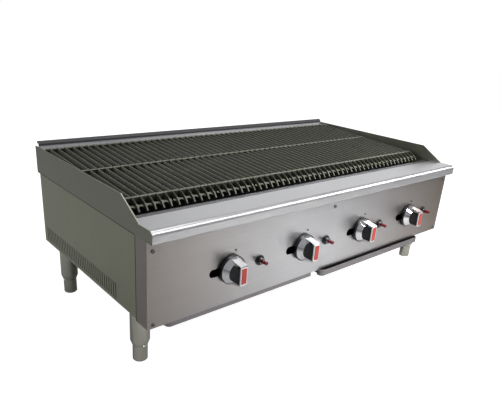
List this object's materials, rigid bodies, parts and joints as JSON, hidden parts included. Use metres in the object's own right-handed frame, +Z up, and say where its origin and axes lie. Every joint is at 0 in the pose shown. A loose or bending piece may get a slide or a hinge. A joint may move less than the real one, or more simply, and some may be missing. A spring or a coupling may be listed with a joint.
{
  "type": "charbroiler grill",
  "caption": "Wide countertop gas charbroiler: cast grates over a firebox, splash guards on three sides, front ledge, turn knobs with push igniters, drip trays and levelling legs.",
  "frame": {"origin": "on the surface the feet stand on, at the middle of the overall footprint", "axes": "+X right as the cook stands, +Y from the control panel to the back, +Z up"},
  "size_m": [1.219, 0.6974, 0.4376],
  "materials": {
    "front_panel_steel": "horizontally brushed stainless steel, warm reflections",
    "side_panel_steel": "satin stainless steel",
    "top_trim_steel": "brushed stainless steel, brighter than the sides",
    "firebox_steel": "plain sheet steel, dull",
    "radiant_steel": "dark heat-resistant sheet",
    "burner_steel": "dull formed steel",
    "gas_pipe": "black gas pipe",
    "valve_brass": "machined brass",
    "plated_metal": "plated",
    "black_plastic": "black, semi-gloss",
    "red_plastic": "red, semi-gloss",
    "knob_chrome": "mirror chrome",
    "tray_steel": "plain sheet steel",
    "leg_steel": "turned and brushed steel",
    "grate_iron": "bare cast iron, lighter on the ridges"
  },
  "bodies": {
    "body": {"base_frame": "side_panel_steel", "left_side_panel": "side_panel_steel", "right_side_panel": "side_panel_steel", "back_panel": "side_panel_steel", "control_panel": "front_panel_steel", "front_ledge": "top_trim_steel", "grease_trough": "firebox_steel", "left_splash_guard": "top_trim_steel", "right_splash_guard": "top_trim_steel", "rear_splash": "top_trim_steel", "firebox_liner": "firebox_steel", "radiants": "radiant_steel", "burner_1": "burner_steel", "burner_2": "burner_steel", "burner_3": "burner_steel", "burner_4": "burner_steel", "pilot_burners": "burner_steel", "gas_manifold": "gas_pipe", "gas_valves": "valve_brass", "igniter_bezels": "black_plastic", "igniter_bodies": "plated_metal", "fasteners": "plated_metal", "grate_rests": "firebox_steel", "tray_runners": "side_panel_steel", "leg_tubes": "leg_steel"},
    "valve_stem_1": {"valve_stem_1": "valve_brass"},
    "knob_1": {"knob_core_1": "black_plastic", "knob_trim_1": "knob_chrome", "knob_marker_1": "red_plastic"},
    "igniter_button_1": {"igniter_button_1": "red_plastic"},
    "valve_stem_2": {"valve_stem_2": "valve_brass"},
    "knob_2": {"knob_core_2": "black_plastic", "knob_trim_2": "knob_chrome", "knob_marker_2": "red_plastic"},
    "igniter_button_2": {"igniter_button_2": "red_plastic"},
    "valve_stem_3": {"valve_stem_3": "valve_brass"},
    "knob_3": {"knob_core_3": "black_plastic", "knob_trim_3": "knob_chrome", "knob_marker_3": "red_plastic"},
    "igniter_button_3": {"igniter_button_3": "red_plastic"},
    "valve_stem_4": {"valve_stem_4": "valve_brass"},
    "knob_4": {"knob_core_4": "black_plastic", "knob_trim_4": "knob_chrome", "knob_marker_4": "red_plastic"},
    "igniter_button_4": {"igniter_button_4": "red_plastic"},
    "drip_tray_left": {"drip_tray_left": "tray_steel"},
    "drip_tray_right": {"drip_tray_right": "tray_steel"},
    "foot_front_left": {"foot_front_left": "leg_steel"},
    "foot_front_right": {"foot_front_right": "leg_steel"},
    "foot_rear_left": {"foot_rear_left": "leg_steel"},
    "foot_rear_right": {"foot_rear_right": "leg_steel"},
    "grate_1": {"grate_1": "grate_iron"},
    "grate_2": {"grate_2": "grate_iron"},
    "grate_3": {"grate_3": "grate_iron"},
    "grate_4": {"grate_4": "grate_iron"},
    "grate_5": {"grate_5": "grate_iron"},
    "grate_6": {"grate_6": "grate_iron"},
    "grate_7": {"grate_7": "grate_iron"},
    "grate_8": {"grate_8": "grate_iron"},
    "grate_9": {"grate_9": "grate_iron"}
  },
  "joints": [
    {"name": "knob_turn_1", "type": "hinge", "parent": "body", "child": "valve_stem_1", "pos_m": [-0.3755, -0.29635, 0.227], "axis": [0, -1, 0], "range_deg": [0, 180]},
    {"name": "knob_push_1", "type": "slide", "parent": "valve_stem_1", "child": "knob_1", "axis": [0, 1, 0], "range_m": [0, 0.003], "stiffness_N_per_m": 600},
    {"name": "igniter_push_1", "type": "slide", "parent": "body", "child": "igniter_button_1", "axis": [0, 1, 0], "range_m": [0, 0.008], "stiffness_N_per_m": 400},
    {"name": "knob_turn_2", "type": "hinge", "parent": "body", "child": "valve_stem_2", "pos_m": [-0.1185, -0.29635, 0.227], "axis": [0, -1, 0], "range_deg": [0, 180]},
    {"name": "knob_push_2", "type": "slide", "parent": "valve_stem_2", "child": "knob_2", "axis": [0, 1, 0], "range_m": [0, 0.003], "stiffness_N_per_m": 600},
    {"name": "igniter_push_2", "type": "slide", "parent": "body", "child": "igniter_button_2", "axis": [0, 1, 0], "range_m": [0, 0.008], "stiffness_N_per_m": 400},
    {"name": "knob_turn_3", "type": "hinge", "parent": "body", "child": "valve_stem_3", "pos_m": [0.1385, -0.29635, 0.227], "axis": [0, -1, 0], "range_deg": [0, 180]},
    {"name": "knob_push_3", "type": "slide", "parent": "valve_stem_3", "child": "knob_3", "axis": [0, 1, 0], "range_m": [0, 0.003], "stiffness_N_per_m": 600},
    {"name": "igniter_push_3", "type": "slide", "parent": "body", "child": "igniter_button_3", "axis": [0, 1, 0], "range_m": [0, 0.008], "stiffness_N_per_m": 400},
    {"name": "knob_turn_4", "type": "hinge", "parent": "body", "child": "valve_stem_4", "pos_m": [0.3955, -0.29635, 0.227], "axis": [0, -1, 0], "range_deg": [0, 180]},
    {"name": "knob_push_4", "type": "slide", "parent": "valve_stem_4", "child": "knob_4", "axis": [0, 1, 0], "range_m": [0, 0.003], "stiffness_N_per_m": 600},
    {"name": "igniter_push_4", "type": "slide", "parent": "body", "child": "igniter_button_4", "axis": [0, 1, 0], "range_m": [0, 0.008], "stiffness_N_per_m": 400},
    {"name": "left_tray_slide", "type": "slide", "parent": "body", "child": "drip_tray_left", "axis": [0, -1, 0], "range_m": [0, 0.35]},
    {"name": "right_tray_slide", "type": "slide", "parent": "body", "child": "drip_tray_right", "axis": [0, -1, 0], "range_m": [-0.02, 0.33]},
    {"name": "foot_screw_front_left", "type": "slide", "parent": "body", "child": "foot_front_left", "axis": [0, 0, -1], "range_m": [0, 0.025]},
    {"name": "foot_screw_front_right", "type": "slide", "parent": "body", "child": "foot_front_right", "axis": [0, 0, -1], "range_m": [0, 0.025]},
    {"name": "foot_screw_rear_left", "type": "slide", "parent": "body", "child": "foot_rear_left", "axis": [0, 0, -1], "range_m": [0, 0.025]},
    {"name": "foot_screw_rear_right", "type": "slide", "parent": "body", "child": "foot_rear_right", "axis": [0, 0, -1], "range_m": [0, 0.025]},
    {"name": "grate_lift_1", "type": "slide", "parent": "body", "child": "grate_1", "axis": [0, 0, 1], "range_m": [0, 0.12]},
    {"name": "grate_lift_2", "type": "slide", "parent": "body", "child": "grate_2", "axis": [0, 0, 1], "range_m": [0, 0.12]},
    {"name": "grate_lift_3", "type": "slide", "parent": "body", "child": "grate_3", "axis": [0, 0, 1], "range_m": [0, 0.12]},
    {"name": "grate_lift_4", "type": "slide", "parent": "body", "child": "grate_4", "axis": [0, 0, 1], "range_m": [0, 0.12]},
    {"name": "grate_lift_5", "type": "slide", "parent": "body", "child": "grate_5", "axis": [0, 0, 1], "range_m": [0, 0.12]},
    {"name": "grate_lift_6", "type": "slide", "parent": "body", "child": "grate_6", "axis": [0, 0, 1], "range_m": [0, 0.12]},
    {"name": "grate_lift_7", "type": "slide", "parent": "body", "child": "grate_7", "axis": [0, 0, 1], "range_m": [0, 0.12]},
    {"name": "grate_lift_8", "type": "slide", "parent": "body", "child": "grate_8", "axis": [0, 0, 1], "range_m": [0, 0.12]},
    {"name": "grate_lift_9", "type": "slide", "parent": "body", "child": "grate_9", "axis": [0, 0, 1], "range_m": [0, 0.12]}
  ]
}
